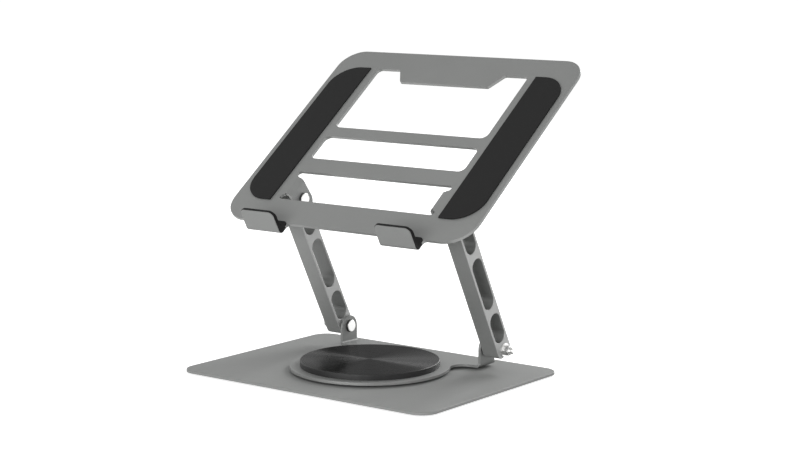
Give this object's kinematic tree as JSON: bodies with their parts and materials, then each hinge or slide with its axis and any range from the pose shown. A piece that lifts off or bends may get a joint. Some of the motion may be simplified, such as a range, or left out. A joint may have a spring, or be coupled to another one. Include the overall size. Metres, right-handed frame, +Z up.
{
  "type": "laptop stand",
  "caption": "Folding sheet-metal laptop stand: tilting windowed tray with hooks and rubber strips on two friction-hinged legs, over a swivel disc on a flat base.",
  "frame": {"origin": "on the swivel axis, at the underside of the base pad", "axes": "+Z up, +X to the stand's right, -Y to the front where the user sits"},
  "size_m": [0.262, 0.2343, 0.2641],
  "materials": {
    "base_metal": "matte grey powder coat on steel sheet",
    "grey_metal": "fine bead-blasted grey anodised sheet",
    "leg_metal": "bead-blasted grey anodised bar",
    "black_disc": "black anodised, turned in fine circles",
    "black_rubber": "matte silicone rubber",
    "bright_steel": "bright zinc plated",
    "black_plastic": "matte friction material",
    "pale_plastic": "natural acetal"
  },
  "bodies": {
    "base": {"base_plate": "base_metal", "base_pad": "black_rubber", "pivot_stud": "bright_steel", "thrust_washer": "pale_plastic", "spring_washer": "bright_steel", "swivel_nut": "bright_steel"},
    "turntable": {"swivel_plate": "grey_metal", "turntable_cover": "black_disc", "cover_screws": "bright_steel", "left_lower_bolt": "bright_steel", "left_lower_friction_washer": "black_plastic", "left_lower_outer_washer": "bright_steel", "left_lower_lock_nut": "bright_steel", "right_lower_bolt": "bright_steel", "right_lower_friction_washer": "black_plastic", "right_lower_outer_washer": "bright_steel", "right_lower_lock_nut": "bright_steel"},
    "left_leg": {"left_leg": "leg_metal", "left_lower_bush": "pale_plastic", "left_upper_bush": "pale_plastic"},
    "right_leg": {"right_leg": "leg_metal", "right_lower_bush": "pale_plastic", "right_upper_bush": "pale_plastic"},
    "top_bolts": {"left_upper_bolt": "bright_steel", "left_upper_friction_washer": "black_plastic", "left_upper_outer_washer": "bright_steel", "left_upper_lock_nut": "bright_steel", "right_upper_bolt": "bright_steel", "right_upper_friction_washer": "black_plastic", "right_upper_outer_washer": "bright_steel", "right_upper_lock_nut": "bright_steel"},
    "tray": {"tray_plate": "grey_metal", "left_strip": "black_rubber", "right_strip": "black_rubber", "left_hook_liner": "black_rubber", "right_hook_liner": "black_rubber"}
  },
  "joints": [
    {"name": "base_swivel", "type": "hinge", "parent": "base", "child": "turntable", "pos_m": [0, 0, 0], "axis": [0, 0, 1], "continuous": true},
    {"name": "leg_lift", "type": "hinge", "parent": "turntable", "child": "left_leg", "pos_m": [-0.086, 0.0652, 0.0218], "axis": [1, 0, 0], "range_deg": [-27.8, 62.2]},
    {"name": "right_leg_lift", "type": "hinge", "parent": "turntable", "child": "right_leg", "pos_m": [0.086, 0.0652, 0.0218], "axis": [1, 0, 0], "range_deg": [-27.8, 62.2]},
    {"name": "top_bolt_turn", "type": "hinge", "parent": "left_leg", "child": "top_bolts", "pos_m": [-0.086, 0.00084, 0.14387], "axis": [1, 0, 0], "range_deg": [-77.76, 34.76]},
    {"name": "tray_tilt", "type": "hinge", "parent": "top_bolts", "child": "tray", "pos_m": [0, 0.00084, 0.14387], "axis": [1, 0, 0], "range_deg": [-21, 8]}
  ],
  "couplings": [
    {"joint": "right_leg_lift", "follows": "leg_lift", "ratio": 1},
    {"joint": "top_bolt_turn", "follows": "leg_lift", "ratio": -1.25}
  ]
}
